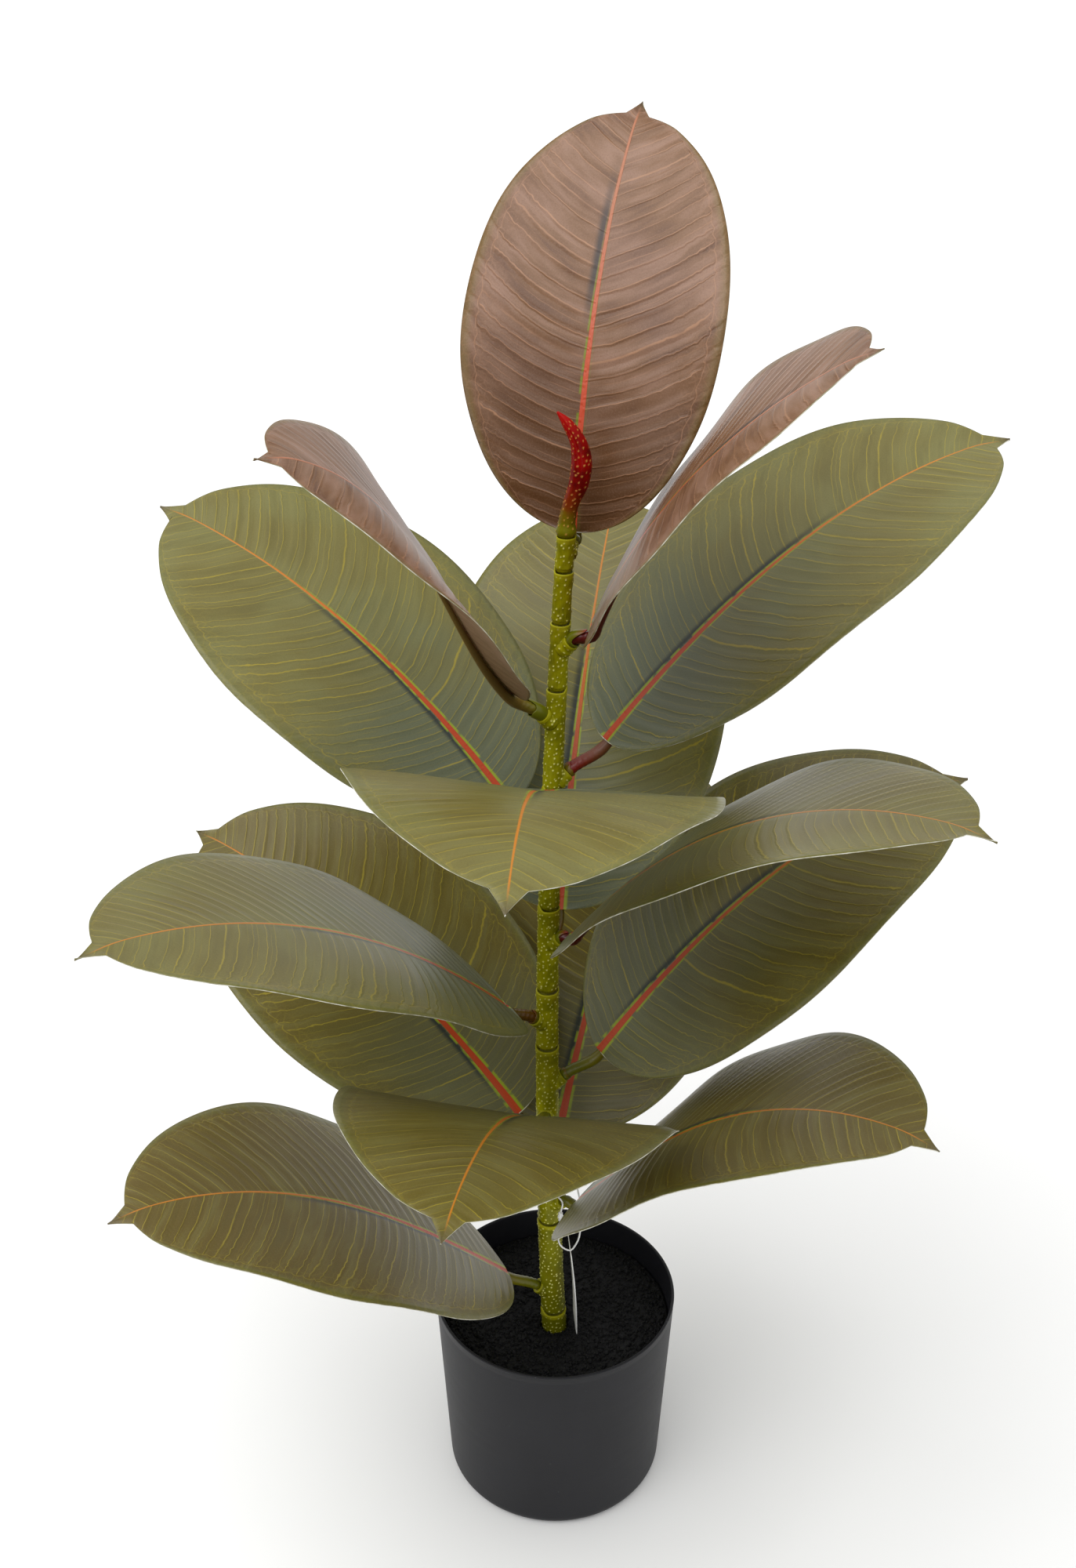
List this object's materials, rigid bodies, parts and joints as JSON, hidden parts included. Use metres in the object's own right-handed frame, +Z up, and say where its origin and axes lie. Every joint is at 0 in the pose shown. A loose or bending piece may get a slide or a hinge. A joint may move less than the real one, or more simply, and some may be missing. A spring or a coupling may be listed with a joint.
{
  "type": "artificial potted rubber plant",
  "caption": "Artificial rubber plant with broad oval leaves on a jointed moulded stem, standing in a round tapered pot filled with dark crumb.",
  "frame": {"origin": "centre of the pot's flat underside", "axes": "+Z up along the stem; -Y is the side the plant shows first; +X to the right as seen from there"},
  "size_m": [0.4703, 0.5105, 0.8031],
  "materials": {
    "pot": "satin moulded charcoal plastic",
    "cement": "rough poured cement",
    "foam": "white foam filler",
    "soil": "loose black crumbs",
    "steel": "plain drawn wire",
    "stem": "olive green moulded plastic with pale raised dots",
    "sheath": "red moulded plastic with pale dots, green at the base",
    "stalk": "glossy olive brown to maroon",
    "leaf": "printed and pressed cloth, khaki green with golden veins and an orange midrib",
    "young_leaf": "printed and pressed cloth, brownish pink with a coral midrib",
    "card": "blank white card",
    "nylon": "clear white nylon"
  },
  "bodies": {
    "root": {"pot": "pot", "ballast": "cement", "filler": "foam", "soil": "soil", "core_rod": "steel", "stem_segment_01": "stem", "stem_segment_02": "stem", "stem_segment_03": "stem", "stem_segment_04": "stem", "stem_segment_05": "stem", "stem_segment_06": "stem", "stem_segment_07": "stem", "stem_segment_08": "stem", "stem_segment_09": "stem", "stem_segment_10": "stem", "stem_segment_11": "stem", "stem_segment_12": "stem", "stem_segment_13": "stem", "bud_sheath": "sheath", "leaf_01_blade": "young_leaf", "leaf_01_stalk": "stalk", "leaf_02_blade": "young_leaf", "leaf_02_stalk": "stalk", "leaf_03_blade": "young_leaf", "leaf_03_stalk": "stalk", "leaf_04_blade": "leaf", "leaf_04_stalk": "stalk", "leaf_05_blade": "leaf", "leaf_05_stalk": "stalk", "leaf_06_blade": "leaf", "leaf_06_stalk": "stalk", "leaf_07_blade": "leaf", "leaf_07_stalk": "stalk", "leaf_08_blade": "leaf", "leaf_08_stalk": "stalk", "leaf_09_blade": "leaf", "leaf_09_stalk": "stalk", "leaf_10_blade": "leaf", "leaf_10_stalk": "stalk", "leaf_11_blade": "leaf", "leaf_11_stalk": "stalk", "leaf_12_blade": "leaf", "leaf_12_stalk": "stalk", "leaf_13_blade": "leaf", "leaf_13_stalk": "stalk", "leaf_14_blade": "leaf", "leaf_14_stalk": "stalk", "leaf_15_blade": "leaf", "leaf_15_stalk": "stalk", "tag_loop": "nylon", "tag_lock": "nylon", "tag_card": "card"}
  },
  "joints": []
}
